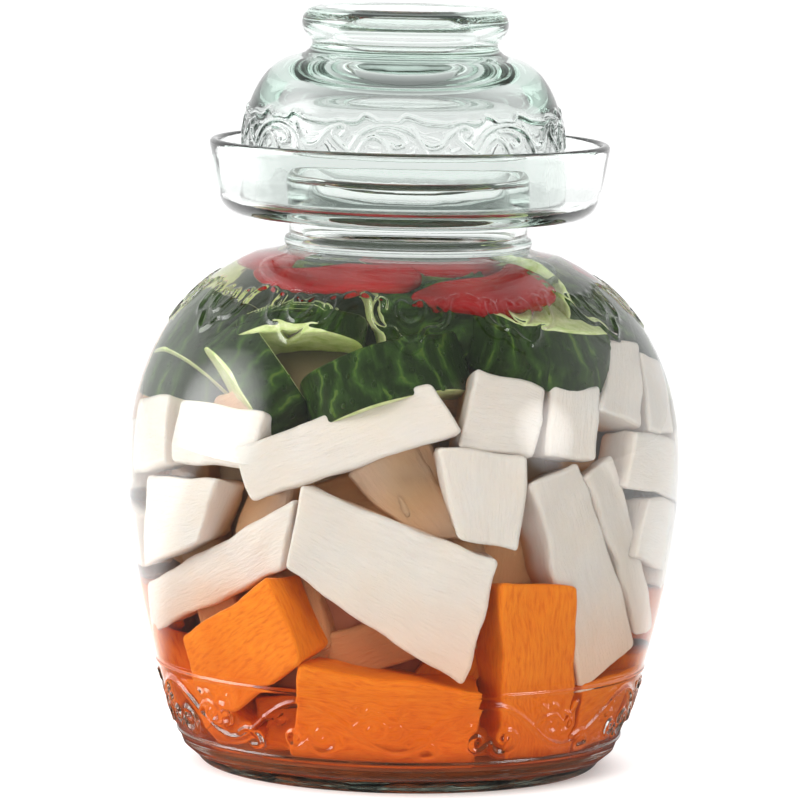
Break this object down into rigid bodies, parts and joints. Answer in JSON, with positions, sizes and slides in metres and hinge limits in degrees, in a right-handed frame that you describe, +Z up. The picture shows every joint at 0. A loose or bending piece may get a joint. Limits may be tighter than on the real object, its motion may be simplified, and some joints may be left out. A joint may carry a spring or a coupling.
{
  "type": "pickle jar",
  "caption": "Round-bodied glass pickling jar with a water-seal dish round its neck, a domed glass lid, and mixed vegetables in clear brine.",
  "frame": {"origin": "centre of the jar's base, on the surface it stands on", "axes": "+Z up along the jar's axis; the side in the picture faces -Y; +X is to its right"},
  "size_m": [0.1748, 0.1748, 0.24],
  "materials": {
    "jar_glass": "clear pressed glass with a faint green tint",
    "lid_glass": "clear pressed glass with a faint green tint",
    "vegetables": "wet cut vegetables"
  },
  "bodies": {
    "root": {"jar": "jar_glass", "lid": "lid_glass", "pickled_vegetables": "vegetables"}
  },
  "joints": []
}
